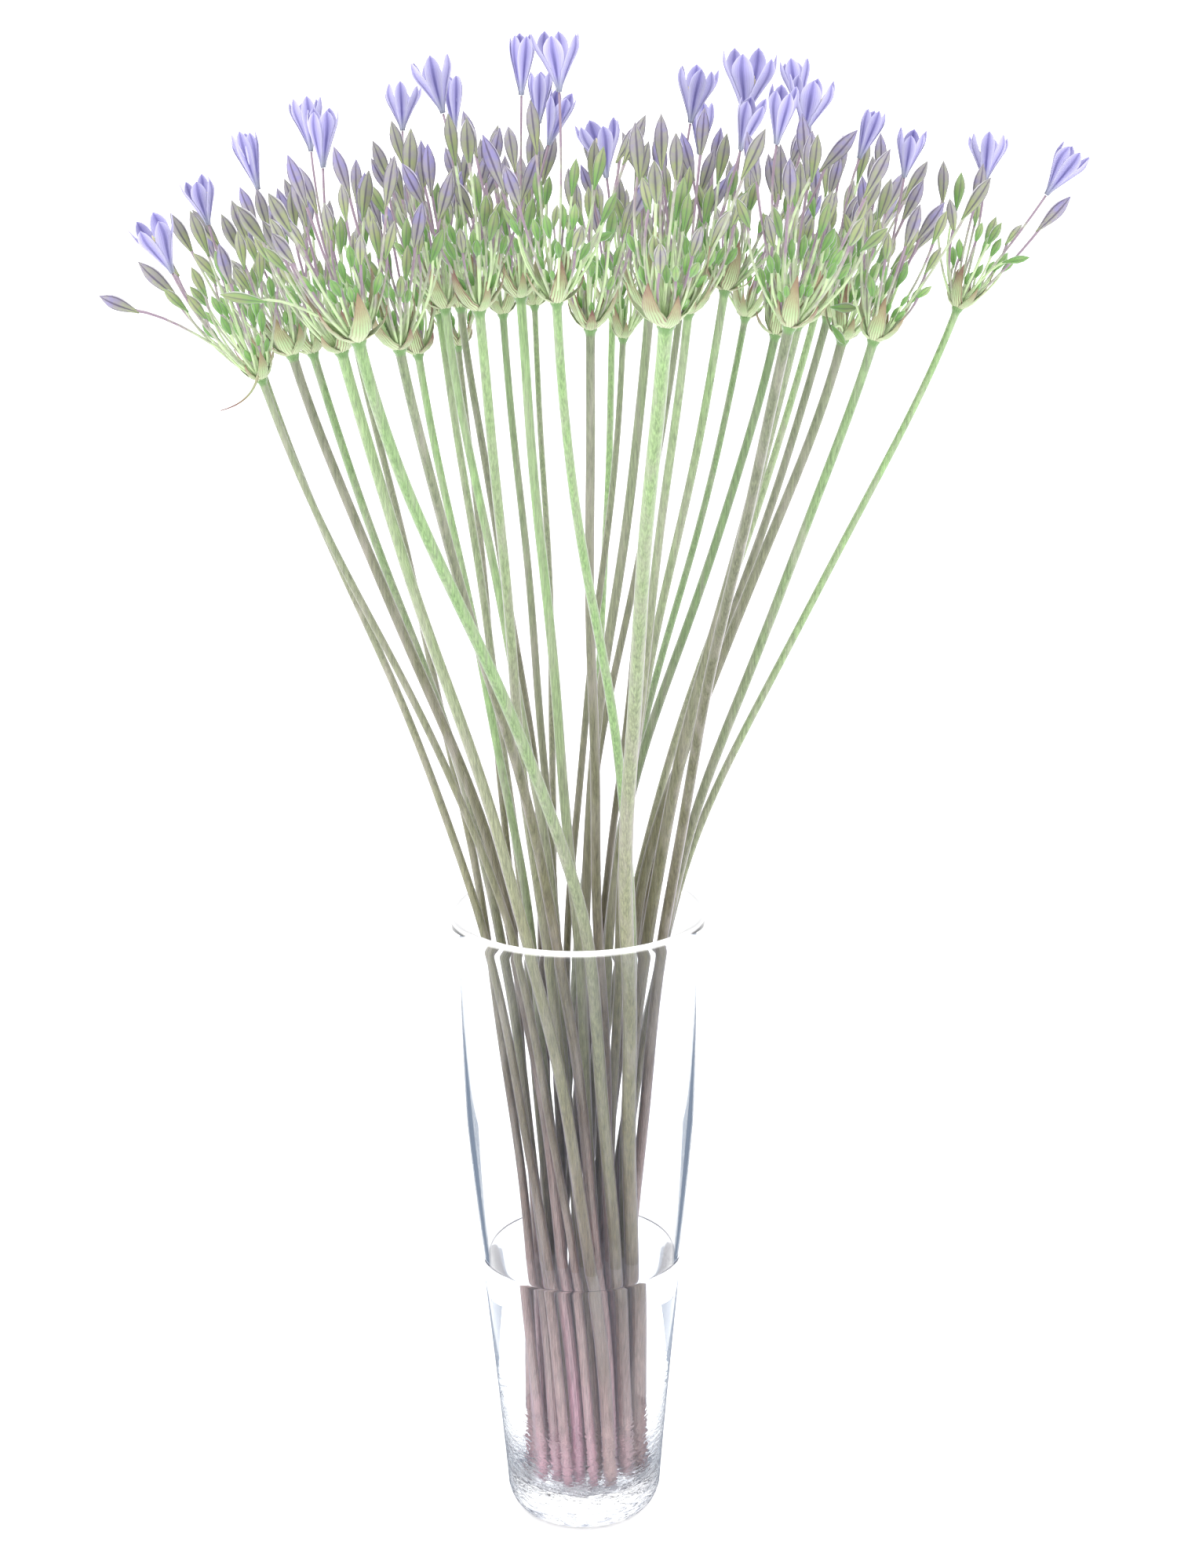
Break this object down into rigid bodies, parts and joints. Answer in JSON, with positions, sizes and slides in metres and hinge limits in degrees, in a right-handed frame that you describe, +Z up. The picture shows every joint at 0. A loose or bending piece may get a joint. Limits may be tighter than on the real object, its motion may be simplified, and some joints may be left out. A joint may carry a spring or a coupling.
{
  "type": "brodiaea in vase",
  "caption": "Bunch of cut brodiaea: slim green stems with fanned umbels of violet buds and funnel flowers, in a tall tapered clear glass vase of water.",
  "frame": {"origin": "centre of the flat round foot of the vase, on the surface that it stands on", "axes": "+Z up along the axis of the vase, -Y towards the viewer, +X to the viewer's right"},
  "size_m": [0.4109, 0.3579, 0.6845],
  "materials": {
    "glass": "clear polished glass",
    "water": "clear still water",
    "stem": "fresh plant tissue, finely grooved",
    "petal": "thin violet tepals with dark midribs"
  },
  "bodies": {
    "root": {"vase": "glass", "water": "water", "stem_01": "stem", "stem_02": "stem", "stem_03": "stem", "stem_04": "stem", "stem_05": "stem", "stem_06": "stem", "stem_07": "stem", "stem_08": "stem", "stem_09": "stem", "stem_10": "stem", "stem_11": "stem", "stem_12": "stem", "stem_13": "stem", "stem_14": "stem", "stem_15": "stem", "stem_16": "stem", "stem_17": "stem", "stem_18": "stem", "stem_19": "stem", "stem_20": "stem", "stem_21": "stem", "stem_22": "stem", "stem_23": "stem", "stem_24": "stem", "stem_25": "stem", "stem_26": "stem", "stem_27": "stem", "stem_28": "stem", "stem_29": "stem", "stem_30": "stem", "stem_31": "stem", "stem_32": "stem", "stem_33": "stem", "stem_34": "stem", "stem_35": "stem", "stem_36": "stem", "bloom_01": "petal", "bloom_02": "petal", "bloom_03": "petal", "bloom_04": "petal", "bloom_05": "petal", "bloom_06": "petal", "bloom_07": "petal", "bloom_08": "petal", "bloom_09": "petal", "bloom_10": "petal", "bloom_11": "petal", "bloom_12": "petal", "bloom_13": "petal", "bloom_14": "petal", "bloom_15": "petal", "bloom_16": "petal", "bloom_17": "petal", "bloom_18": "petal", "bloom_19": "petal", "bloom_20": "petal", "bloom_21": "petal", "bloom_22": "petal"}
  },
  "joints": []
}
